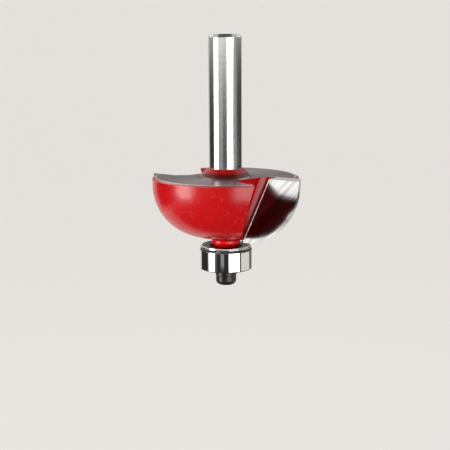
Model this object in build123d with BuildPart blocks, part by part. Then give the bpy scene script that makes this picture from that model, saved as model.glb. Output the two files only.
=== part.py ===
from build123d import *
import math
import os

# Bearing-guided cove router bit.  Two carbide-tipped wings on a turned steel body, an 8 mm shank
# above it and a 12.7 mm ball bearing below, held on its journal by a screw and a washer.
# +Z runs up the shank.  The origin is on the axis, half way along the ground length of the shank.

# ---- shank and collar
shank_dia = 8.0
shank_length = 31.6
shank_chamfer = 0.8
collar_height = 2.05
collar_lip = 0.15
collar_foot_dia = 12.6
collar_foot_fillet = 0.9
collar_flare = 0.85

# ---- cutting profile and carbide tips
cove_radius = 12.7
tip_land = 2.53
tip_drop = 0.38
tip_angle = -26.1
hook_angle = 11.7
shear_angle = 16.0
relief_angle = 9.0
carbide_thickness = 2.0
carbide_width = 8.45
carbide_lean = 16.4
carbide_pocket = 0.8
wing_count = 2

# ---- body
carbide_proud = 1.45
carbide_proud_below = 1.19
body_arc_radius = 12.47
rim_bevel_width = 0.76
rim_bevel_drop = 0.31
backing_radius = 5.9
backing_drop = 0.98
backing_run = 4.0
backing_inset = 1.5
seam_turn = 50  # the lathe profile's seam lies clear of the wings and the backings
neck_dia = 7.0
neck_round = 1.4
neck_widest = 1.43
neck_root_dia = 5.8
neck_foot_dia = 5.5
bearing_gap = 2.01

# ---- gullet, in plan, at the body's top face and at its foot
floor_angle = 45.65
floor_offset_top = 7.66
floor_offset_foot = 4.06
floor_reach_top = 5.14
floor_reach_foot = 0.3
wing_end_angle_top = -57.0
wing_end_angle_foot = -83.5
wing_end_run_top = 10.0
wing_end_run_foot = 27.1
root_radius = 0.9
apex_radius = 0.2
gullet_overrun = 1.0

# ---- guide bearing
bearing_od = 12.7
bearing_bore = 4.762
bearing_width = 4.978
ball_dia = 2.381
ball_count = 7
groove_radius = 1.25
ball_clearance = 0.04
inner_shoulder = 0.66
inner_face_step = 0.08
outer_shoulder = 0.78
race_corner = 0.3
bore_corner = 0.2
shield_thickness = 0.2
shield_depth = 0.62
shield_bore_gap = 0.35
outer_rim_wall = 0.37
snap_wire = 0.25
snap_groove = 0.1
snap_slack = 0.02
snap_gap_angle = 24.0
snap_opening_angle = 200.0
ball_start_angle = 90.0
cage_sheet = 0.2
cage_band = 0.9
pocket_clearance = 0.07

# ---- dished dust washer between the neck and the bearing
dust_dia = 12.34
dust_sheet = 0.16
dust_rise = 0.46
dust_dish_dia = 8.1
dust_dish_run = 0.4
dust_bend = 0.06
dust_clearance = 0.04

# ---- journal, washer and screw
journal_clearance = 0.011
journal_setback = 0.35
journal_chamfer = 0.2
washer_dia = 5.2
washer_thickness = 1.66
washer_clearance = 0.1
washer_edge = 0.12
screw_dia = 3.0
screw_length = 9.0
screw_point = 0.4
head_dia = 4.96
head_height = 2.35
head_round = 1.05
socket_size = 2.0
socket_depth = 1.2
thread_clearance = 0.02
hole_spare = 1.2
drill_point = 118.0

os.makedirs("parts", exist_ok=True)


def save(builder, name):
    """Label a finished piece and write it."""
    builder.part.label = name
    export_step(builder.part, f"parts/{name}.step")


# ---- levels down the axis
body_top = -(shank_length / 2 + collar_height)
tip_level = body_top - tip_drop
cut_centre = tip_level - tip_land
cut_foot = cut_centre - cove_radius
body_foot = cut_foot + carbide_proud_below
neck_level = body_foot - neck_widest
bearing_top = cut_foot - bearing_gap
shoulder = bearing_top + dust_sheet
bearing_mid = bearing_top - bearing_width / 2
bearing_foot = bearing_top - bearing_width
washer_foot = bearing_foot - washer_thickness
journal_foot = bearing_foot + journal_setback

# ---- radii
guide_radius = bearing_od / 2
cutting_radius = guide_radius + cove_radius
body_radius = cutting_radius - carbide_proud
body_arc_level = body_foot + body_arc_radius
neck_middle = neck_dia / 2 - neck_round
neck_root_radius = neck_root_dia / 2
neck_foot_radius = neck_foot_dia / 2
neck_start = neck_level + math.sqrt(neck_round**2 - (neck_root_radius - neck_middle) ** 2)
neck_end = neck_level - math.sqrt(neck_round**2 - (neck_foot_radius - neck_middle) ** 2)
journal_radius = bearing_bore / 2 - journal_clearance
screw_radius = screw_dia / 2

# ---- rake face: a plane through the tip, turned by the hook angle and leaned back by the shear angle
face_angle = tip_angle - hook_angle
outward = Vector(1, 0, 0).rotate(Axis.Z, face_angle)
level_normal = outward.rotate(Axis.Z, -90)
shear = math.radians(shear_angle)
rake_normal = level_normal * math.cos(shear) + Vector(0, 0, math.sin(shear))
tip_offset = -cutting_radius * math.sin(math.radians(hook_angle))
rake_foot = level_normal * tip_offset + Vector(0, 0, tip_level)
rake_plane = Plane(origin=rake_foot, x_dir=outward, z_dir=rake_normal)
tip_reach = cutting_radius * math.cos(math.radians(hook_angle))
lean = math.tan(math.radians(carbide_lean))


def face_offset(level, depth):
    """Distance from the axis of the line that the plane, depth behind the rake face, draws at a level."""
    return tip_offset - math.tan(shear) * (level - tip_level) - depth / math.cos(shear)


def face_point(radius, level, depth):
    """Point at a radius and a level, in the coordinates of the plane that lies depth behind the rake face."""
    reach = math.sqrt(radius**2 - face_offset(level, depth) ** 2)
    height = (level - tip_level + depth * math.sin(shear)) / math.cos(shear)
    return Vector(reach, height)


def inner_edge(height):
    """Point on the carbide's straight inner edge, at a height in the plane of the face."""
    return Vector(tip_reach - carbide_width + height * lean, height)


def carbide_outline(depth, top_level):
    """Outline of the carbide, depth behind the rake face, drawn smaller by the relief angle."""
    relief = depth * math.tan(math.radians(relief_angle))
    arc_radius = cove_radius - relief
    arc_middle = arc_radius * math.sqrt(0.5)
    tip = face_point(cutting_radius - relief, top_level, depth)
    land_end = face_point(cutting_radius - relief, cut_centre, depth)
    middle = face_point(guide_radius + arc_middle, cut_centre - arc_middle, depth)
    foot = face_point(guide_radius, cut_centre - arc_radius, depth)
    Polyline(foot, inner_edge(foot.Y), inner_edge(tip.Y), tip, land_end)
    ThreePointArc(land_end, middle, foot)


# ---- gullet section at a level: floor, seat side, open rim side and the end of the next wing
floor_out = Vector(1, 0, 0).rotate(Axis.Z, floor_angle - 90)
floor_along = Vector(1, 0, 0).rotate(Axis.Z, floor_angle)
ledge_depth = carbide_thickness - carbide_pocket
rim_clear = cutting_radius + gullet_overrun


def blend(top_value, foot_value, level):
    """Value that runs straight from the body's top face to its foot."""
    return top_value + (foot_value - top_value) * (body_top - level) / (body_top - body_foot)


def gullet_corners(level):
    """Corners of the gullet: apex, root, outer end of the seat side and outer end of the wing's wall."""
    offset = blend(floor_offset_top, floor_offset_foot, level)
    seat = face_offset(level, ledge_depth)
    turn = math.radians(floor_angle - face_angle)
    along = (offset * math.cos(turn) - seat) / math.sin(turn)
    root = floor_out * offset + floor_along * along
    apex = floor_out * offset - floor_along * blend(floor_reach_top, floor_reach_foot, level)
    end_top = Vector(wing_end_run_top, 0, 0).rotate(Axis.Z, wing_end_angle_top)
    end_foot = Vector(wing_end_run_foot, 0, 0).rotate(Axis.Z, wing_end_angle_foot)
    end = apex + blend(end_top, end_foot, level)
    seat_end = level_normal * seat + outward * rim_clear
    return apex, root, seat_end, end


def gullet_section(level):
    """Closed outline of the gullet at a level, reaching past the cutting circle."""
    apex, root, seat_end, end = gullet_corners(level)
    far = (end + seat_end).normalized() * (2 * cutting_radius)
    FilletPolyline(apex, root, seat_end, far, end, radius=(apex_radius, root_radius, 0, 0, 0), close=True)


def pocket_outline():
    """The carbide's seat: open at the rim, at the top face and at the foot."""
    low = inner_edge(face_point(guide_radius, cut_foot, 0).Y)
    high = inner_edge(carbide_thickness + gullet_overrun)
    Polyline(low, high, (rim_clear, high.Y), (rim_clear, low.Y), close=True)


# ---- turned body: shank, collar, cove-shaped head, neck and journal, with a gullet and a seat for each wing
gullet_levels = [body_top + gullet_overrun, body_foot - gullet_overrun]
slight = 0.001
wing_turns = [Rot(0, 0, 360 / wing_count * wing) for wing in range(wing_count)]
seat_plane = rake_plane.offset(-carbide_thickness)
shank_end = shank_length / 2
collar_top = body_top + collar_height
arc_axis = body_radius - body_arc_radius
hole_radius = screw_radius + thread_clearance
hole_end = washer_foot + screw_length + hole_spare
hole_point = hole_radius / math.tan(math.radians(drill_point / 2))


def turned(plane, turn):
    """A plane carried round the axis to one wing."""
    return Plane(turn * plane.location)


def rims(builder, radius, *levels):
    """Circular edges of one radius at the levels given."""
    circles = builder.edges().filter_by(GeomType.CIRCLE)
    rounds = circles.filter_by(lambda edge: abs(edge.radius - radius) < slight)
    return rounds.filter_by(lambda edge: min(abs(edge.center().Z - level) for level in levels) < slight)


# ---- backing: carries the wing's foot down behind the carbide's inner corner, and dies out behind it
backing_level = body_foot - backing_drop
backing_corner = level_normal * face_offset(backing_level, ledge_depth) + Vector(0, 0, backing_level)
backing_rise = Vector(0, 0, backing_drop) - level_normal * backing_run
backing_plane = Plane(origin=backing_corner, x_dir=outward, z_dir=outward.cross(backing_rise))

with BuildPart() as backing:
    with BuildSketch(Plane.XY.offset(backing_level)):
        Circle(backing_radius)
    extrude(amount=backing_drop + rim_bevel_drop)
    split(bisect_by=rake_plane.offset(-ledge_depth), keep=Keep.BOTTOM)
    split(bisect_by=backing_plane, keep=Keep.TOP)
    split(bisect_by=Plane(origin=outward * backing_inset, z_dir=outward), keep=Keep.TOP)

with BuildPart() as cutter_body:
    with BuildSketch(turned(Plane.XZ, Rot(0, 0, seam_turn))):
        with BuildLine():
            Polyline(
                (0, journal_foot),
                (0, shank_end),
                (shank_dia / 2, shank_end),
                (shank_dia / 2, collar_top),
                (shank_dia / 2 + collar_lip, collar_top),
                (collar_foot_dia / 2 - collar_flare, body_top + collar_flare),
                (collar_foot_dia / 2, body_top),
                (body_radius - rim_bevel_width, body_top),
                (body_radius, body_top - rim_bevel_drop),
                (body_radius, body_arc_level),
            )
            CenterArc((arc_axis, body_arc_level), body_arc_radius, 0, -90)
            Polyline((arc_axis, body_foot), (neck_root_radius, body_foot), (neck_root_radius, neck_start))
            ThreePointArc(
                (neck_root_radius, neck_start),
                (neck_dia / 2, neck_level),
                (neck_foot_radius, neck_end),
            )
            Polyline(
                (neck_foot_radius, neck_end),
                (neck_foot_radius, shoulder),
                (journal_radius, shoulder),
                (journal_radius, journal_foot),
                (0, journal_foot),
            )
        make_face()
    revolve(axis=Axis.Z)
    chamfer(rims(cutter_body, shank_dia / 2, shank_end), shank_chamfer)
    chamfer(rims(cutter_body, journal_radius, journal_foot), journal_chamfer)
    fillet(rims(cutter_body, collar_foot_dia / 2, body_top), collar_foot_fillet)
    with BuildSketch(Plane.XZ):
        Polygon(
            (0, journal_foot),
            (hole_radius, journal_foot),
            (hole_radius, hole_end),
            (0, hole_end + hole_point),
            align=None,
        )
    revolve(axis=Axis.Z, mode=Mode.SUBTRACT)
    for turn in wing_turns:
        add(turn * backing.part)
    for turn in wing_turns:
        for level in gullet_levels:
            with BuildSketch(turned(Plane.XY.offset(level), turn)):
                with BuildLine():
                    gullet_section(level)
                make_face()
        loft(ruled=True, mode=Mode.SUBTRACT)
        with BuildSketch(turned(seat_plane, turn)):
            with BuildLine():
                pocket_outline()
            make_face()
        extrude(amount=carbide_thickness, mode=Mode.SUBTRACT)

save(cutter_body, "cutter_body")

# ---- carbide tips, each brazed in its seat
for number, turn in enumerate(wing_turns, 1):
    with BuildPart() as carbide_tip:
        with BuildSketch(turned(rake_plane, turn)):
            with BuildLine():
                carbide_outline(0, tip_level)
            make_face()
        with BuildSketch(turned(seat_plane, turn)):
            with BuildLine():
                carbide_outline(carbide_thickness, body_top)
            make_face()
        loft(ruled=True)
    save(carbide_tip, f"carbide_tip_{number}")

# ---- guide bearing: every profile is drawn about its middle plane
ball_radius = ball_dia / 2
pitch_radius = (bearing_od + bearing_bore) / 4
half_width = bearing_width / 2
inner_shoulder_radius = pitch_radius - inner_shoulder
inner_face_radius = inner_shoulder_radius - inner_face_step
outer_shoulder_radius = pitch_radius + outer_shoulder
inner_groove_bottom = pitch_radius - ball_radius - ball_clearance
outer_groove_bottom = pitch_radius + ball_radius + ball_clearance
recess_radius = guide_radius - outer_rim_wall
shield_seat = half_width - shield_depth
snap_level = shield_seat + shield_thickness
race_plane = Plane(origin=(0, 0, bearing_mid), x_dir=(1, 0, 0), z_dir=(0, -1, 0))
mid_plane = Plane.XY.offset(bearing_mid)


def groove_half_width(shoulder_radius, bottom_radius, centre_radius):
    """Half the width of a ball groove where it breaks out on the shoulder."""
    return math.sqrt(groove_radius**2 - (centre_radius - shoulder_radius) ** 2)


def race_profile(wall_radius, face_radius, shoulder_radius, bottom_radius):
    """Section of a race: its round wall, its two faces with any step for a shield, and its ball groove."""
    towards_balls = 1 if bottom_radius < pitch_radius else -1
    centre_radius = bottom_radius + towards_balls * groove_radius
    half_groove = groove_half_width(shoulder_radius, bottom_radius, centre_radius)
    Polyline(
        (shoulder_radius, half_groove),
        (shoulder_radius, shield_seat),
        (face_radius, shield_seat),
        (face_radius, half_width),
        (wall_radius, half_width),
        (wall_radius, -half_width),
        (face_radius, -half_width),
        (face_radius, -shield_seat),
        (shoulder_radius, -shield_seat),
        (shoulder_radius, -half_groove),
    )
    ThreePointArc((shoulder_radius, -half_groove), (bottom_radius, 0), (shoulder_radius, half_groove))


with BuildPart() as bearing_outer_race:
    with BuildSketch(race_plane):
        with BuildLine():
            race_profile(guide_radius, recess_radius, outer_shoulder_radius, outer_groove_bottom)
        make_face()
    revolve(axis=Axis.Z)
    for side in (-1, 1):
        with BuildSketch(race_plane):
            with Locations((recess_radius, side * (snap_level + snap_wire / 2))):
                Rectangle(2 * (snap_groove + snap_slack), snap_wire + 2 * snap_slack)
        revolve(axis=Axis.Z, mode=Mode.SUBTRACT)
    fillet(rims(bearing_outer_race, guide_radius, bearing_foot, bearing_top), race_corner)

save(bearing_outer_race, "bearing_outer_race")

with BuildPart() as bearing_inner_race:
    with BuildSketch(race_plane):
        with BuildLine():
            race_profile(bearing_bore / 2, inner_face_radius, inner_shoulder_radius, inner_groove_bottom)
        make_face()
    revolve(axis=Axis.Z)
    fillet(rims(bearing_inner_race, bearing_bore / 2, bearing_foot, bearing_top), bore_corner)

save(bearing_inner_race, "bearing_inner_race")

for number, spot in enumerate(PolarLocations(pitch_radius, ball_count, start_angle=ball_start_angle), 1):
    with BuildPart(mid_plane) as bearing_ball:
        with Locations(spot):
            Sphere(ball_radius)
    save(bearing_ball, f"bearing_ball_{number}")

# ---- ribbon cage: two pressed halves, cupped over each ball and flat between them
pocket_radius = ball_radius + pocket_clearance
cup_radius = pocket_radius + cage_sheet


def cage_ring():
    """The cage's width, seen down the axis."""
    Circle(pitch_radius + cage_band / 2)
    Circle(pitch_radius - cage_band / 2, mode=Mode.SUBTRACT)


for side, name in ((1, "bearing_cage_upper"), (-1, "bearing_cage_lower")):
    with BuildPart(mid_plane) as cage_half:
        with PolarLocations(pitch_radius, ball_count, start_angle=ball_start_angle):
            Sphere(cup_radius)
        with BuildSketch(mid_plane):
            cage_ring()
        extrude(amount=side * cage_sheet)
        with BuildSketch(mid_plane):
            cage_ring()
        extrude(amount=side * half_width, mode=Mode.INTERSECT)
        with PolarLocations(pitch_radius, ball_count, start_angle=ball_start_angle):
            Sphere(pocket_radius, mode=Mode.SUBTRACT)
    save(cage_half, name)

# ---- shields, each held against its step by a split ring that springs into a groove
shield_bore_radius = inner_face_radius + shield_bore_gap
ring_outer_radius = recess_radius + snap_groove

for side, end in ((1, "upper"), (-1, "lower")):
    with BuildPart(mid_plane.offset(side * shield_seat)) as shield:
        Cylinder(
            recess_radius - snap_slack,
            shield_thickness,
            align=(Align.CENTER, Align.CENTER, Align.MIN if side > 0 else Align.MAX),
        )
        Hole(shield_bore_radius)
    save(shield, f"bearing_shield_{end}")
    with BuildPart() as snap_ring:
        with BuildSketch(mid_plane.offset(side * snap_level)):
            Circle(ring_outer_radius)
            Circle(ring_outer_radius - snap_wire, mode=Mode.SUBTRACT)
            with BuildLine():
                first = PolarLine((0, 0), 2 * guide_radius, snap_opening_angle - snap_gap_angle / 2)
                second = PolarLine((0, 0), 2 * guide_radius, snap_opening_angle + snap_gap_angle / 2)
                Line(first @ 1, second @ 1)
            make_face(mode=Mode.SUBTRACT)
        extrude(amount=side * snap_wire)
    save(snap_ring, f"bearing_snap_ring_{end}")

# ---- dust washer: its dish is clamped on the inner race and its rim stands clear of the outer race
dust_rim = bearing_top + dust_rise
dish_radius = dust_dish_dia / 2
dust_bore_radius = journal_radius + dust_clearance

with BuildPart() as dust_washer:
    with BuildSketch(Plane.XZ):
        with BuildLine():
            FilletPolyline(
                (dust_bore_radius, bearing_top),
                (dust_bore_radius, shoulder),
                (dish_radius - dust_dish_run, shoulder),
                (dish_radius, dust_rim + dust_sheet),
                (dust_dia / 2, dust_rim + dust_sheet),
                (dust_dia / 2, dust_rim),
                (dish_radius + dust_sheet, dust_rim),
                (dish_radius + dust_sheet - dust_dish_run, bearing_top),
                radius=dust_bend,
                close=True,
            )
        make_face()
    revolve(axis=Axis.Z)

save(dust_washer, "dust_washer")

# ---- washer and socket-head screw that hold the inner race on the journal
with BuildPart(Plane.XY.offset(washer_foot)) as retaining_washer:
    Cylinder(washer_dia / 2, washer_thickness, align=(Align.CENTER, Align.CENTER, Align.MIN))
    Hole(screw_radius + washer_clearance)
    chamfer(rims(retaining_washer, washer_dia / 2, washer_foot, bearing_foot), washer_edge)

save(retaining_washer, "retaining_washer")

head_foot = washer_foot - head_height

with BuildPart() as bearing_screw:
    with BuildSketch(Plane.XZ):
        with BuildLine():
            Polyline(
                (0, head_foot),
                (head_dia / 2, head_foot),
                (head_dia / 2, washer_foot),
                (screw_radius, washer_foot),
                (screw_radius, washer_foot + screw_length),
                (0, washer_foot + screw_length),
                close=True,
            )
        make_face()
    revolve(axis=Axis.Z)
    fillet(rims(bearing_screw, head_dia / 2, head_foot), head_round)
    chamfer(rims(bearing_screw, screw_radius, washer_foot + screw_length), screw_point)
    with BuildSketch(Plane.XY.offset(head_foot)):
        RegularPolygon(socket_size / 2, 6, major_radius=False)
    extrude(amount=socket_depth, mode=Mode.SUBTRACT)

save(bearing_screw, "bearing_screw")
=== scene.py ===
# %% [markdown]
# # A cove router bit, dressed for the studio
#
# A router bit with a guide bearing: a ground steel shank, a red enamelled cutter head with two brazed
# carbide tips, and a small ball bearing under it, held by a washer and a black screw. The shapes come
# finished from the CAD model. What is missing is everything that makes metal and paint look real, so
# this lesson is mostly about finishes: grinding marks, paint that thins at an edge, oily steel. It ends
# with the lamps and cards that a photographer puts round a shiny tool.

import math

import bpy
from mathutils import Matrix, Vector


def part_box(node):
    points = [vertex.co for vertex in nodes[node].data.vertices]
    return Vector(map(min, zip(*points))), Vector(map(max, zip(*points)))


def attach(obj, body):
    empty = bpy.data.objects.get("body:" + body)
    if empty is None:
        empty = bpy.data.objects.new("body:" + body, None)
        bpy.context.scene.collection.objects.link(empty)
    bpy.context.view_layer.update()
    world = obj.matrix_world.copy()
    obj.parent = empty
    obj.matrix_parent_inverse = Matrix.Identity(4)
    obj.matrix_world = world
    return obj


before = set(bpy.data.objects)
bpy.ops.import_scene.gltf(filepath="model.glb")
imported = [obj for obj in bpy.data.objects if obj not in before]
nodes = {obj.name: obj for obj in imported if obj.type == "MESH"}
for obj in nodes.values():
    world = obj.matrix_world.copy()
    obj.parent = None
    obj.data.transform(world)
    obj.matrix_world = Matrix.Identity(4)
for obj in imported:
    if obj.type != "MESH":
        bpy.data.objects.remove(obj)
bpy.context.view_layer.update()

# %% [markdown]
# ## Sizes that the finishes need
#
# A finish often stops at an edge of the model: the paint ends where the shank leaves the collar. Such
# places are written once, in millimetres, and turned into metres, Blender's unit.

# %% Sizes from the model, in metres
MM = 0.001
collar_top = -15.80 * MM
head_top = -17.85 * MM
bead_foot = -34.92 * MM
collar_foot_radius = 6.55 * MM
bevel_radius = 16.84 * MM
EDGE = 0.02 * MM  # half the width of a narrow step from one finish to the next
bearing_low, bearing_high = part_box("bearing_outer_race")
print("bearing from", round(bearing_low.z / MM, 2), "to", round(bearing_high.z / MM, 2), "mm")

# %% [markdown]
# ## Shader maths that reads like maths
#
# A material in Blender is a graph of nodes. Drawing one by hand takes many small Math nodes, and in
# code that becomes unreadable. The class below wraps a socket, and its operators add the Math nodes:
# `a * 2` makes a Multiply node. `Finish.add` makes every other node from its type, its inputs and its
# settings.

# %% Wires and finishes
class Wire:
    """One output socket, with operators that add Math nodes."""

    def __init__(self, finish, socket):
        self.finish = finish
        self.socket = socket

    def math(self, operation, *others):
        terms = dict(enumerate((self, *others)))
        return self.finish.add("ShaderNodeMath", terms, operation=operation)

    def __add__(self, other):
        return self.math("ADD", other)

    def __sub__(self, other):
        return self.math("SUBTRACT", other)

    def __rsub__(self, other):
        return self * -1 + other

    def __mul__(self, other):
        return self.math("MULTIPLY", other)

    def __truediv__(self, other):
        return self.math("DIVIDE", other)

    __radd__ = __add__
    __rmul__ = __mul__

    def rise(self, low, high):
        """0 below low, 1 above high and a soft step between them; high may be the lower of the two."""
        inputs = {"Value": self, "From Min": low, "From Max": high}
        return self.finish.add("ShaderNodeMapRange", inputs, interpolation_type="SMOOTHSTEP")


class Finish:
    """A material whose patterns are measured in the model's own coordinates."""

    def __init__(self, name):
        self.material = bpy.data.materials.new(name)
        self.material.use_nodes = True
        self.tree = self.material.node_tree
        self.tree.nodes.clear()
        self.place = self.add("ShaderNodeTexCoord", output="Object")
        split = self.add("ShaderNodeSeparateXYZ", {"Vector": self.place}, output=None)
        self.x, self.y, self.z = (Wire(self, socket) for socket in split.outputs)

    def add(self, kind, inputs=(), output=0, **settings):
        """Adds a node: settings first, then the values or wires of its inputs. Returns one output."""
        node = self.tree.nodes.new(kind)
        for name, value in settings.items():
            setattr(node, name, value)
        for name, value in dict(inputs).items():
            if isinstance(value, Wire):
                self.tree.links.new(value.socket, node.inputs[name])
            else:
                node.inputs[name].default_value = value
        return node if output is None else Wire(self, node.outputs[output])

    def radius(self):
        """Distance from the bit's axis."""
        flat = self.add("ShaderNodeCombineXYZ", {"X": self.x, "Y": self.y})
        return self.add("ShaderNodeVectorMath", {0: flat}, output="Value", operation="LENGTH")

    def angle(self):
        """Angle round the bit's axis, in radians."""
        return self.y.math("ARCTAN2", self.x)

    def noise(self, scale, vector=None, detail=2.0, roughness=0.5):
        """Soft noise from 0 to 1 with about `scale` blobs to a metre."""
        place = vector or self.place
        inputs = {"Vector": place, "Scale": scale, "Detail": detail, "Roughness": roughness}
        return self.add("ShaderNodeTexNoise", inputs)

    def mix(self, share, first, second):
        """Blends two colours; a share of 0 gives the first."""
        node = self.add("ShaderNodeMix", output=None, data_type="RGBA")
        for socket, value in ((0, share), (6, first), (7, second)):
            if isinstance(value, Wire):
                self.tree.links.new(value.socket, node.inputs[socket])
            else:
                node.inputs[socket].default_value = value
        return Wire(self, node.outputs[2])

    def bump(self, height, distance, strength=1.0, normal=None):
        """Normal of a surface raised by `distance` metres where the height is 1."""
        inputs = {"Height": height, "Distance": distance, "Strength": strength}
        if normal:
            inputs["Normal"] = normal
        return self.add("ShaderNodeBump", inputs)

    def shader(self, **inputs):
        """A Principled shader; a word's underscores stand for the spaces in a socket's name."""
        return self.add("ShaderNodeBsdfPrincipled", {k.replace("_", " "): v for k, v in inputs.items()})

    def close(self, shader):
        """Sends the finished shader to the surface."""
        self.add("ShaderNodeOutputMaterial", {"Surface": shader}, output=None)
        return self.material


def grey(level):
    """An opaque grey."""
    return (level, level, level, 1.0)


def wear(node, material):
    """Gives a CAD node its finish."""
    nodes[node].data.materials.clear()
    nodes[node].data.materials.append(material)


# %% [markdown]
# ## Cutter body: lacquer over turned steel
#
# The whole body is turned from one bar. Its head is lacquered red, then the shank and the flat top of
# the head are ground bare again. So one material holds two finishes, and masks made from height and
# distance to the axis choose between them. Turning leaves fine rings round the axis. They spread a
# reflection along the axis and keep it sharp across, which the shader calls anisotropy.

# %% Rings, specks and scratches that several finishes share
def rings(f, fineness, across):
    """Fine turned rings: noise that changes along `across` and hardly at all round the axis."""
    slow = f.angle() * 0.0008
    place = f.add("ShaderNodeCombineXYZ", {"X": across, "Y": slow})
    return f.noise(fineness, place, detail=3, roughness=0.6)


def specks(f, scale, size):
    """1 on small scattered dots, where a random cell's centre is nearer than `size` of its width."""
    cell = f.add("ShaderNodeTexVoronoi", {"Vector": f.place, "Scale": scale}, output=None)
    near = Wire(f, cell.outputs["Distance"]).rise(size, size * 0.4)
    some = f.add("ShaderNodeSeparateColor", {"Color": Wire(f, cell.outputs["Color"])})
    return near * some.rise(0.72, 0.76)


# %% [markdown]
# The lacquer is sprayed on and baked. It is a deep red under a thin clear coat, with a fine orange peel
# that breaks up the highlights, and some dust that settled in it while it was wet. Low on the collar it
# is painted darker, as shade in the corner round the collar's foot, and on the neck's bead it is a
# brighter red.

# %% Red lacquer
def lacquer(f, stipple):
    """Red lacquer with clouds, dust specks and orange peel; `stipple` is how rough the peel is."""
    mottle = f.noise(260, detail=3)
    dust = specks(f, 1300, 0.2) * 0.6
    # Painted shade: the lacquer is darkened low on the collar, in the corner round its foot.
    collar_low = f.z.rise(head_top + 1.4 * MM, head_top + 0.7 * MM)
    painted_collar_shade = f.z.rise(head_top - EDGE, head_top + EDGE) * collar_low
    red = f.mix(mottle, (0.43, 0.0004, 0.002, 1.0), (0.50, 0.001, 0.004, 1.0))
    red = f.mix(painted_collar_shade * 0.9, red, (0.06, 0.0005, 0.001, 1.0))
    # A brighter red on the neck's bead, lower down.
    bead = f.z.rise(bead_foot + 1.7 * MM, bead_foot + 1.3 * MM)
    red = f.mix(bead, red, (0.72, 0.001, 0.003, 1.0))
    red = f.mix(dust, red, (0.75, 0.35, 0.3, 1.0))
    return f.shader(
        Base_Color=red,
        Roughness=f.noise(700, detail=4) * 0.08 + 0.23,
        Specular_IOR_Level=0.38,
        Coat_Weight=0.12,
        Coat_Roughness=0.19,
        Normal=f.bump(f.noise(1700, detail=2), 0.012 * MM, stipple),
    )


# %% Cutter body: lacquer, ground shank and bare top faces
def cutter_finish():
    """Lacquer on the head, and turned steel on the shank, the flat top faces and the neck's foot."""
    f = Finish("cutter_lacquer_and_steel")
    radius = f.radius()
    lathe = rings(f, 9000, f.z + radius * 0.8)
    coarse = rings(f, 1500, f.z + radius * 0.8)
    shank = f.z.rise(collar_top - EDGE, collar_top + EDGE)
    above = f.z.rise(head_top - 0.03 * MM, head_top - 0.01 * MM)
    below = f.z.rise(head_top + 0.03 * MM, head_top + 0.01 * MM)
    face = above * below * radius.rise(collar_foot_radius, collar_foot_radius + 0.1 * MM)
    foot = f.z.rise(bead_foot + 0.03 * MM, bead_foot - 0.03 * MM)
    # Painted highlight: a near-white ring of colour along the rim of the top faces.
    painted_rim_highlight = face * radius.rise(bevel_radius - 0.35 * MM, bevel_radius - 0.1 * MM)
    # Painted reflection: a purplish red tint on the top faces towards their rim, for the red they
    # reflect.
    painted_red_reflection = face * radius.rise(7 * MM, 17 * MM) * (1 - painted_rim_highlight)
    # Painted reflection and shade: dark red on the top faces round the collar's foot.
    painted_collar_reflection = face * radius.rise(8.2 * MM, 6.8 * MM)
    ground = f.mix(coarse, (0.5, 0.5, 0.51, 1.0), (0.68, 0.67, 0.66, 1.0))
    # Painted shade: the flat top faces take a much darker copy of the shank's steel colour, standing in
    # for the dark they reflect.
    ground = f.mix(face, ground, f.mix(coarse, (0.17, 0.15, 0.157, 1.0), (0.29, 0.265, 0.27, 1.0)))
    ground = f.mix(painted_red_reflection * (coarse * 0.5 + 0.6), ground, (0.22, 0.11, 0.135, 1.0))
    ground = f.mix(painted_collar_reflection * 0.6, ground, (0.16, 0.035, 0.035, 1.0))
    ground = f.mix(painted_rim_highlight, ground, (0.9, 0.9, 0.9, 1.0))
    ground = f.mix(foot, ground, (0.12, 0.09, 0.08, 1.0))
    steel = f.shader(
        Base_Color=ground,
        Metallic=1.0,
        Roughness=lathe * 0.1 + 0.13 + face * 0.16,
        Anisotropic=0.7,
        Anisotropic_Rotation=0.25,
        Normal=f.bump(lathe, 0.002 * MM, 0.3),
    )
    bare = shank + face + foot
    return f.close(f.add("ShaderNodeMixShader", {"Fac": bare, 1: lacquer(f, 0.45), 2: steel}))


wear("cutter_body", cutter_finish())

# %% [markdown]
# ## Carbide: a face ground with fine slanting lines
#
# Each tip is sintered carbide, darker than steel. Its face is ground on a diamond wheel, which leaves
# straight fine lines across it, and a last pass along the cutting edge leaves a rolled land that bends
# the reflections. The lines are noise stretched along one direction of the face, so the finish first
# works out where a point lies on that face: how far out, and how high. The second tip is the first one
# turned half round, so its x and y are counted backwards.

# %% Directions on the cutting face
face_out = (0.790155, -0.612907, 0.0)
face_up = (0.168940, 0.217796, 0.961262)
face_normal = (-0.589164, -0.759546, 0.275637)
face_foot = (2.36772 * MM, 3.05245 * MM, -18.23 * MM)
cove_middle = (6.35 * MM, -20.76 * MM)
GRIND_SLANT = math.radians(52)
LAND_START = 8.2 * MM
LAND_WIDTH = 4.5 * MM
LAND_ROLL = 0.46 * MM


def along(f, direction, turn, start=(0, 0, 0)):
    """Distance from a start point along a direction, for the tip that is turned by 1 or -1."""
    shift = sum(a * b for a, b in zip(direction, start))
    return f.x * (direction[0] * turn) + f.y * (direction[1] * turn) + f.z * direction[2] - shift


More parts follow.
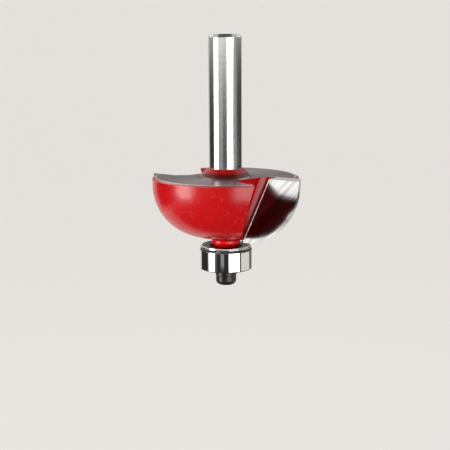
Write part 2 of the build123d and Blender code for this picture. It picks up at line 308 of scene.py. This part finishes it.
# %% Carbide
def carbide_finish(name, turn):
    """Slanting grinding lines, and towards the edge a land that bends the reflection like a roll."""
    f = Finish(name)
    out = along(f, face_out, turn, face_foot)
    up = along(f, face_up, turn, face_foot)
    depth = along(f, face_normal, turn, face_foot)
    across = up * math.cos(GRIND_SLANT) - out * math.sin(GRIND_SLANT)
    length = out * math.cos(GRIND_SLANT) + up * math.sin(GRIND_SLANT)
    fine_place = f.add("ShaderNodeCombineXYZ", {"X": across, "Y": length * 0.02})
    broad_place = f.add("ShaderNodeCombineXYZ", {"X": across, "Y": length * 0.05})
    lines = f.noise(7000, fine_place, detail=4, roughness=0.7)
    bands = f.noise(1400, broad_place, detail=3, roughness=0.6)
    front = depth.rise(-0.05 * MM, -0.01 * MM)
    streak = lines.rise(0.3, 0.7) * 0.5 + bands.rise(0.35, 0.65) * 0.5
    tone = f.mix(streak, (0.055, 0.054, 0.054, 1.0), (0.17, 0.168, 0.168, 1.0))
    sweep_out = f.radius() - cove_middle[0]
    sweep_down = f.z - cove_middle[1]
    reach = f.add("ShaderNodeCombineXYZ", {"X": sweep_out, "Y": sweep_down})
    reach = f.add("ShaderNodeVectorMath", {0: reach}, output="Value", operation="LENGTH")
    low_on_face = up.rise(-3.0 * MM, -9.0 * MM)
    rolled = (reach - LAND_START).math("MAXIMUM", 0.0) / LAND_WIDTH * low_on_face
    land = f.bump(1 - rolled * rolled, LAND_ROLL, 1.0)
    return f.close(f.shader(
        Base_Color=f.mix(front, (0.4, 0.4, 0.4, 1.0), tone),
        Metallic=1.0,
        Roughness=lines * 0.14 + 0.12,
        Normal=f.bump(lines, 0.003 * MM, 0.5, land),
    ))


wear("carbide_tip_1", carbide_finish("ground_carbide_1", 1))
wear("carbide_tip_2", carbide_finish("ground_carbide_2", -1))

# %% [markdown]
# ## Bearing and its dust washer
#
# The races are ground and polished until they mirror the room, so their roughness stays very low. Only
# the turned corners, where the wall meets the end faces, are dull and dark. The shields, the cage and
# the dust washer are pressed from sheet, duller and browner with oil. In the washer's dish round the
# neck shade is painted nearly black. The shields and the cage share one function and differ in colour
# and gloss.

# %% Bearing steels
def steel_finish(name, colour, roughness, spread):
    """Pressed and oily sheet steel; `spread` draws its reflections out along the axis."""
    f = Finish(name)
    turned = rings(f, 8000, f.radius() + f.z * 0.7)
    stain = f.noise(500, detail=3)
    darker = tuple(c * 0.72 for c in colour[:3]) + (1.0,)
    return f.close(f.shader(
        Base_Color=f.mix(stain * 0.5 + turned * 0.3, colour, darker),
        Metallic=1.0,
        Roughness=turned * 0.06 + roughness,
        Anisotropic=spread,
        Anisotropic_Rotation=0.25,
        Normal=f.bump(turned, 0.002 * MM, 0.3),
    ))


def race_finish():
    """Polished steel, with duller turned corners where the wall meets the end faces."""
    f = Finish("bearing_chrome")
    haze = f.noise(700, detail=3)
    outside = f.radius().rise(5.6 * MM, 5.9 * MM)
    inner, outer = 0.34 * MM, 0.22 * MM
    low = f.z.rise(bearing_low.z + inner, bearing_low.z + outer)
    high = f.z.rise(bearing_high.z - inner, bearing_high.z - outer)
    corner = (low + high) * outside
    wiped = f.mix(haze, (0.86, 0.855, 0.84, 1.0), (0.74, 0.735, 0.72, 1.0))
    return f.close(f.shader(
        Base_Color=f.mix(corner, wiped, (0.16, 0.14, 0.13, 1.0)),
        Metallic=1.0,
        Roughness=haze * 0.03 + 0.025 + corner * 0.25,
        Normal=f.bump(rings(f, 8000, f.z), 0.001 * MM, 0.3),
    ))


def washer_finish():
    """Brown oily steel outside, with shade painted nearly black in the dish round the neck."""
    f = Finish("dust_washer_steel")
    radius = f.radius()
    turned = rings(f, 8000, radius)
    stain = f.noise(500, detail=3)
    # Painted shade: the dish round the neck is coloured nearly black.
    dish_painted_shade = radius.rise(4.25 * MM, 3.95 * MM)
    top = f.mix(stain * 0.6 + turned * 0.3, (0.25, 0.21, 0.18, 1.0), (0.10, 0.08, 0.065, 1.0))
    return f.close(f.shader(
        Base_Color=f.mix(dish_painted_shade, top, (0.02, 0.016, 0.014, 1.0)),
        Metallic=1.0,
        Roughness=turned * 0.06 + 0.22 + dish_painted_shade * 0.3,
        Anisotropic=0.6,
        Anisotropic_Rotation=0.25,
        Normal=f.bump(turned, 0.002 * MM, 0.3),
    ))


race = race_finish()
shield = steel_finish("shield_steel", (0.45, 0.41, 0.37, 1.0), 0.26, 0.6)
cage = steel_finish("cage_steel", (0.62, 0.6, 0.57, 1.0), 0.22, 0.4)
for node in nodes:
    if "race" in node or "ball" in node:
        wear(node, race)
    elif "shield" in node or "snap" in node:
        wear(node, shield)
    elif "cage" in node:
        wear(node, cage)
wear("dust_washer", washer_finish())

# %% [markdown]
# ## Black oxide
#
# The washer and the screw are blacked in a hot salt bath. The oxide is thin and a little oily: nearly
# black, with broad soft highlights, and worn to bare steel in fine scattered spots.

# %% Black oxide
def oxide_finish():
    """Nearly black oxide with faint turned rings, and steel showing in scattered specks."""
    f = Finish("black_oxide")
    turned = rings(f, 5000, f.radius() + f.z)
    cloud = f.noise(900, detail=3)
    colour = f.mix(cloud * 0.6 + turned * 0.3, (0.006, 0.006, 0.007, 1.0), (0.024, 0.023, 0.023, 1.0))
    return f.close(f.shader(
        Base_Color=f.mix(specks(f, 2500, 0.18) * 0.5, colour, grey(0.3)),
        Metallic=0.2,
        Roughness=cloud * 0.15 + 0.22,
        Normal=f.bump(turned, 0.003 * MM, 0.4),
    ))


oxide = oxide_finish()
for node in ("retaining_washer", "bearing_screw"):
    wear(node, oxide)

# %% [markdown]
# ## Lacquer pooled in the gullets
#
# Each gullet is milled with a round root, and the lacquer runs down and pools there. The corner between
# the gullet's floor and the ledge behind the carbide is then fuller than the cutter left it, and shows
# a long pink highlight. The pool's section is drawn at the top: one point is spun along a shallow arc
# from the floor to the ledge, joined to the corner behind it and filled. The face is then extruded down
# the root in steps, and made smaller at each, because the pool thins out towards the foot. Each step
# says how far down the root it lies, from 0 to 1, and how many millimetres wide the pool is there.

# %% Pooled lacquer
import bmesh
from mathutils import Vector

floor_way = Vector((-0.69905, -0.71507, 0.0))
ledge_way = Vector((0.790155, -0.612907, 0.0))
root_line = ((9.742, -0.977, -17.87), (4.004, -1.728, -32.25))
pool_steps = (
    (0.0, 2.2), (0.14, 2.05), (0.3, 1.85), (0.48, 1.7),
    (0.66, 1.5), (0.84, 1.2), (0.94, 0.9), (1.0, 0.7),
)
POOL_SWEEP = math.radians(44)
POOL_SINK = 0.3 * MM  # how far the pool's corner lies inside the steel


def start_vertex(name, place):
    """A new mesh with one vertex, in edit mode, as the start of a drawn section."""
    bpy.ops.object.select_all(action="DESELECT")
    bpy.ops.mesh.primitive_plane_add(size=MM)
    bpy.context.object.name = name
    bpy.ops.object.mode_set(mode="EDIT")
    bpy.ops.mesh.select_all(action="SELECT")
    bpy.ops.mesh.merge(type="CENTER")
    bpy.ops.transform.translate(value=place)
    return bpy.context.object


def extrude(way):
    """In edit mode, extrudes what is selected along a vector."""
    bpy.ops.mesh.extrude_region_move(TRANSFORM_OT_translate={"value": way})


def closed_and_smooth(piece, angle=35):
    """Merges doubles, turns the faces outwards and smooths all but the sharp edges."""
    bpy.ops.mesh.select_all(action="SELECT")
    bpy.ops.mesh.remove_doubles(threshold=0.0001 * MM)
    bpy.ops.mesh.normals_make_consistent(inside=False)
    bpy.ops.object.mode_set(mode="OBJECT")
    bpy.ops.object.shade_smooth_by_angle(angle=math.radians(angle))
    print(piece.name, "faces:", len(piece.data.polygons))


def half_turn_copy(piece, name):
    """A copy for the other wing, with its own mesh, turned half round the bit's axis."""
    bpy.ops.object.select_all(action="DESELECT")
    piece.select_set(True)
    bpy.context.view_layer.objects.active = piece
    bpy.ops.object.duplicate(linked=False)
    twin = bpy.context.object
    twin.name = name
    bpy.ops.object.mode_set(mode="EDIT")
    bpy.ops.mesh.select_all(action="SELECT")
    bpy.ops.transform.rotate(value=math.pi, orient_axis="Z", center_override=(0, 0, 0))
    bpy.ops.object.mode_set(mode="OBJECT")
    return twin


root_top, root_foot = (Vector(p) * MM for p in root_line)
first = pool_steps[0][1] * MM
floor_end = root_top + floor_way * first
ledge_end = root_top + ledge_way * first
chord = ledge_end - floor_end
hollow = chord.length / 2 / math.tan(POOL_SWEEP / 2)
towards_void = Vector((chord.y, -chord.x, 0.0)).normalized()
hollow_centre = (floor_end + ledge_end) / 2 + towards_void * hollow

pool = start_vertex("lacquer_pool_1", floor_end)
bpy.ops.mesh.spin(steps=10, angle=POOL_SWEEP, center=hollow_centre, axis=(0, 0, 1))
places = [v.co for v in bmesh.from_edit_mesh(pool.data).verts]
last = max(places, key=lambda co: (co - floor_end).length)
print("pool's arc ends off the ledge by mm:", round((last - ledge_end).length / MM, 4))
to_corner = root_top - towards_void * POOL_SINK - ledge_end
extrude(to_corner)
bpy.ops.mesh.select_all(action="SELECT")
bpy.ops.mesh.edge_face_add()
share, width = pool_steps[0]
for next_share, next_width in pool_steps[1:]:
    extrude((root_foot - root_top) * (next_share - share))
    size = next_width / width
    on_root = root_top.lerp(root_foot, next_share)
    bpy.ops.transform.resize(value=(size, size, 1), center_override=on_root)
    share, width = next_share, next_width
closed_and_smooth(pool)
pools = [pool, half_turn_copy(pool, "lacquer_pool_2")]
f = Finish("pooled_lacquer")
pool_lacquer = f.close(lacquer(f, 1.0))
for pool in pools:
    pool.data.materials.append(pool_lacquer)
    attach(pool, "cutter")

# %% [markdown]
# ## Silver braze along the carbide
#
# The tips are brazed into their seats, and a little silver solder squeezes out along the inner edge and
# freezes as a thin uneven bead. A small ring of vertices is laid across the edge's foot and extruded up
# along the edge, and each step is made a little thicker or thinner, as a hand-fed bead is.

# %% Braze beads
edge_foot, edge_top = Vector((4.10, -3.793, -33.40)) * MM, Vector((10.43, -3.202, -18.24)) * MM
beside = (Vector(face_out) * -0.959 + Vector(face_up) * 0.282).normalized()
shift = beside * 0.05 * MM - Vector(face_normal) * 0.04 * MM
edge_way = (edge_top - edge_foot).normalized()
BEAD_STEPS = 34
BEAD_RADIUS = 0.15 * MM


def bead_girth(step):
    """Thickness of the bead at a step, as a share of its radius: thin at both ends, uneven between."""
    along_edge = step / BEAD_STEPS
    taper = min(1.0, 0.35 + 6 * along_edge, 0.35 + 6 * (1 - along_edge))
    return taper * (1 + 0.16 * math.sin(step * 2.1) + 0.1 * math.sin(step * 0.8 + 1))


bpy.ops.object.select_all(action="DESELECT")
turn_to_edge = edge_way.to_track_quat("Z", "X").to_euler()
bpy.ops.mesh.primitive_circle_add(
    vertices=8,
    radius=BEAD_RADIUS * bead_girth(0),
    fill_type="NGON",
    location=edge_foot + shift,
    rotation=turn_to_edge,
)
bead = bpy.context.object
bead.name = "braze_bead_1"
bpy.ops.object.transform_apply(location=True, rotation=True, scale=True)
bpy.ops.object.mode_set(mode="EDIT")
bpy.ops.mesh.select_all(action="SELECT")
for step in range(1, BEAD_STEPS + 1):
    extrude((edge_top - edge_foot) / BEAD_STEPS)
    size = bead_girth(step) / bead_girth(step - 1)
    middle = edge_foot.lerp(edge_top, step / BEAD_STEPS) + shift
    bpy.ops.transform.resize(value=(size, size, size), center_override=middle)
closed_and_smooth(bead, 60)
beads = [bead, half_turn_copy(bead, "braze_bead_2")]


def braze_finish():
    """Grainy silver solder, dulled in places by the flux."""
    f = Finish("silver_braze")
    grain = f.noise(6000, detail=3)
    stain = f.noise(1200, detail=2)
    return f.close(f.shader(
        Base_Color=f.mix(stain, (0.85, 0.86, 0.84, 1.0), (0.55, 0.53, 0.48, 1.0)),
        Metallic=1.0,
        Roughness=grain * 0.2 + 0.35,
        Normal=f.bump(grain, 0.01 * MM, 0.5),
    ))


braze = braze_finish()
for bead in beads:
    bead.data.materials.append(braze)
    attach(bead, "cutter")

# %% [markdown]
# ## The washer's rolled rim
#
# A polished ring runs round the dust washer, just inside the edge of its sheet, and is the bright line
# above the bearing. Its section is an oval, three times as high as it is thick, and leans inwards at
# its top. It is drawn beside the axis and spun all the way round. The last ring of vertices then lies
# on the first, and the doubles are merged.

# %% Rolled rim
def rim_lean(ring):
    """How far the section's top vertex lies nearer to the axis than its lowest one."""
    bpy.ops.object.mode_set(mode="OBJECT")
    places = sorted((v.co.z, v.co.x) for v in ring.data.vertices)
    bpy.ops.object.mode_set(mode="EDIT")
    return (places[0][1] - places[-1][1]) / MM


RIM_TILT = math.radians(13)
RIM_OVAL = 0.25 * MM
RIM_STRETCH = (0.45, 1, 1.32)
rim_middle = (5.93 * MM, 0, -34.88 * MM)
bpy.ops.object.select_all(action="DESELECT")
bpy.ops.mesh.primitive_circle_add(
    vertices=14, radius=RIM_OVAL, location=rim_middle, rotation=(math.pi / 2, 0, 0)
)
rim = bpy.context.object
rim.name = "dust_washer_rim"
bpy.ops.object.transform_apply(location=True, rotation=True, scale=True)
bpy.ops.object.mode_set(mode="EDIT")
bpy.ops.mesh.select_all(action="SELECT")
bpy.ops.transform.resize(value=RIM_STRETCH, center_override=rim_middle)
bpy.ops.transform.rotate(value=RIM_TILT, orient_axis="Y", center_override=rim_middle)
print("rim leans inwards at the top by mm:", round(rim_lean(rim), 3))
bpy.ops.mesh.spin(steps=128, angle=2 * math.pi, center=(0, 0, 0), axis=(0, 0, 1))
closed_and_smooth(rim, 60)


def rim_finish():
    """Bright steel, a little hazy from handling."""
    f = Finish("rolled_rim_steel")
    haze = f.noise(900, detail=3)
    return f.close(f.shader(
        Base_Color=f.mix(haze, (0.95, 0.94, 0.92, 1.0), (0.80, 0.78, 0.75, 1.0)),
        Metallic=1.0,
        Roughness=haze * 0.08 + 0.1,
        Normal=f.bump(rings(f, 6000, f.z + f.radius()), 0.001 * MM, 0.3),
    ))


rim.data.materials.append(rim_finish())
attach(rim, "cutter")

# %% [markdown]
# ## A pale studio
#
# A product photographer stands a shiny tool on a pale sweep: a floor that curves up into a wall, so
# that no line shows behind the tool. Here it is a disc whose rim is extruded outwards and upwards in
# steps. What the lamps light on it is mixed with a pale glow that only the camera and the reflections
# see. The backdrop is bright in the picture and in the metal, and the tool gets no more light from it.

# %% Pale sweep
def pale(f, lit, glow, share):
    """Mixes a lit surface with a glow that the camera, reflections and glass see."""
    path = f.add("ShaderNodeLightPath", output=None).outputs
    camera_ray, glossy_ray, transmission_ray = (
        Wire(f, path[name]) for name in ("Is Camera Ray", "Is Glossy Ray", "Is Transmission Ray")
    )
    seen = camera_ray + glossy_ray + transmission_ray
    return f.add("ShaderNodeMixShader", {"Fac": seen * share, 1: lit, 2: glow})


FLOOR_LEVEL = -0.20
FLOOR_REACH = 1.2
CURVE_STEPS = 12
STEP_LENGTH = 0.09
WALL_HEIGHT = 3.2
GLOW_SHARE = 0.8  # the rest of what the camera and the reflections see is the lit surface
bpy.ops.object.select_all(action="DESELECT")
bpy.ops.mesh.primitive_circle_add(
    vertices=96, radius=FLOOR_REACH, fill_type="NGON", location=(0, 0, FLOOR_LEVEL)
)
sweep = bpy.context.object
sweep.name = "pale_sweep"
bpy.ops.object.mode_set(mode="EDIT")
bpy.ops.mesh.select_all(action="SELECT")
bpy.ops.mesh.region_to_loop()
reach = FLOOR_REACH
for step in range(1, CURVE_STEPS + 1):
    lean = math.radians(90 / CURVE_STEPS * (step - 0.5))
    wider = reach + STEP_LENGTH * math.cos(lean)
    extrude((0, 0, STEP_LENGTH * math.sin(lean)))
    bpy.ops.transform.resize(value=(wider / reach, wider / reach, 1))
    reach = wider
extrude((0, 0, WALL_HEIGHT))
bpy.ops.object.mode_set(mode="OBJECT")
bpy.ops.object.shade_smooth()
f = Finish("pale_sweep")
sweep_glow = f.add("ShaderNodeEmission", {"Color": (0.93, 0.90, 0.86, 1.0), "Strength": 1.0})
lit = f.shader(Base_Color=(0.83, 0.81, 0.78, 1.0), Roughness=0.8)
sweep.data.materials.append(f.close(pale(f, lit, sweep_glow, GLOW_SHARE)))
print("sweep reaches out to m:", round(reach, 2))

# %% [markdown]
# Above the wall there is only the world's background, an even grey that fills the shadows a little.

# %% World
world = bpy.data.worlds.new("studio")
bpy.context.scene.world = world
world.use_nodes = True
world.node_tree.nodes["Background"].inputs["Color"].default_value = (0.14, 0.14, 0.14, 1.0)
world.node_tree.nodes["Background"].inputs["Strength"].default_value = 1.0

# %% [markdown]
# ## Lamps and cards
#
# Polished steel has no look of its own: it shows what stands round it. A soft box on either side gives
# the two white bands on every round surface, and a dark card between them the black that makes metal
# look like metal. Smaller grey cards draw the thinner and fainter bands. A wide low box above the dark
# card lights the lacquer from the front, and stands too high to show in an upright wall. One behind
# lights the top faces. Each is placed by its direction from the bit, as a photographer would walk
# round it: a pair of azimuths and a pair of elevations, in degrees.

# %% Helpers that place lamps and cards
centre = (0.0, 0.0, -0.026)


def bearing_direction(azimuth, elevation):
    """Unit vector in a direction: azimuth 0 is the camera's side, and positive is to its right."""
    a, e = math.radians(azimuth), math.radians(elevation)
    return (math.sin(a) * math.cos(e), -math.cos(a) * math.cos(e), math.sin(e))


def placed(thing, azimuths, elevations, distance):
    """Stands a lamp or a card in the middle of its angles, turned towards the bit."""
    azimuth, elevation = sum(azimuths) / 2, sum(elevations) / 2
    d = bearing_direction(azimuth, elevation)
    thing.location = [c + distance * k for c, k in zip(centre, d)]
    thing.rotation_euler = (math.radians(90 - elevation), 0, math.radians(azimuth))
    thing.visible_camera = False


def spread_at(angles, distance):
    """How wide a flat thing has to be to fill the angle between two directions."""
    return 2 * distance * math.tan(math.radians((angles[1] - angles[0]) / 2))


def softbox(name, azimuths, elevations, distance, radiance):
    """A lamp that covers the azimuths and elevations as the bit sees it."""
    width, height = spread_at(azimuths, distance), spread_at(elevations, distance)
    light = bpy.data.lights.new(name, "AREA")
    light.shape = "RECTANGLE"
    light.size, light.size_y = width, height
    light.energy = radiance * math.pi * width * height
    lamp = bpy.data.objects.new(name, light)
    bpy.context.scene.collection.objects.link(lamp)
    placed(lamp, azimuths, elevations, distance)
    print(name, "in mm:", round(width * 1000), "x", round(height * 1000))
    return lamp


def card(name, azimuths, elevations, distance, level):
    """A card of one even brightness that covers the azimuths and elevations as the bit sees it."""
    bpy.ops.object.select_all(action="DESELECT")
    bpy.ops.mesh.primitive_plane_add(size=1)
    plane = bpy.context.object
    plane.name = name
    plane.scale = (spread_at(azimuths, distance), spread_at(elevations, distance), 1)
    bpy.ops.object.transform_apply(location=False, rotation=False, scale=True)
    f = Finish(name)
    plane.data.materials.append(f.close(f.add("ShaderNodeEmission", {"Color": grey(level)})))
    plane.visible_shadow = False
    placed(plane, azimuths, elevations, distance)
    return plane


# %% Soft boxes
softbox("left_softbox", (-80, -52), (-17, 26), 0.45, 8.0)
softbox("right_softbox", (13, 61.5), (-24, 8), 0.5, 4.0)
softbox("front_softbox", (-62, 62), (6, 20), 0.32, 1.2)
softbox("back_softbox", (155, 205), (28, 50), 0.6, 1.5)

# %% Cards
front_card = card("front_card", (-52, 12), (-52, 5), 0.34, 0.032)
card("front_grey_high", (-46, -18), (-9, 5), 0.30, 0.4)
card("front_grey_low", (-23, -9), (-15, -10), 0.28, 0.3)
card("front_edge_low", (-53, -43), (-18, -9.5), 0.30, 0.2)
floor_card = card("floor_card", (-60, 60), (-55, 55), 0.17, 0.02)
# It lies flat on the floor, under the bit and in front of it.
floor_card.rotation_euler = (0, 0, 0)
floor_card.location = (-0.02, -0.17, FLOOR_LEVEL + 0.004)
# The two dark ones show in sharp reflections only, and leave the matt surfaces their light.
for dark in (front_card, floor_card):
    dark.visible_diffuse = False
card("left_card", (-136, -88), (-34, 4), 0.4, 0.03)
card("left_edge", (-89, -80), (-18, 4), 0.38, 0.16)
card("right_grey_card", (49, 84), (-9.5, 6), 0.4, 0.35)
card("right_frame", (61.5, 69), (-18, -9), 0.4, 0.06)
card("right_card", (84, 142), (-9, 6), 0.38, 0.04)
card("right_low_card", (124, 152), (-20, -9), 0.36, 0.14)
card("back_card", (142, 194), (6, 24), 0.5, 0.25)

# %% [markdown]
# ## Camera
#
# The camera looks a little down on the head from a quarter of a metre away, and is rolled by a fraction
# of a degree, as a camera set by hand is.

# %% Camera
camera_data = bpy.data.cameras.new("camera")
camera_data.lens = 84.8
camera_data.sensor_width = 36
camera = bpy.data.objects.new("camera", camera_data)
bpy.context.scene.collection.objects.link(camera)
camera.location = (-0.21 * MM, -252.9 * MM, 16.35 * MM)
camera.rotation_euler = (math.radians(90 - 10.35), 0, 0)
camera.rotation_euler.rotate_axis("Z", math.radians(-0.28))
bpy.context.scene.camera = camera
bpy.context.scene.view_settings.view_transform = "Standard"
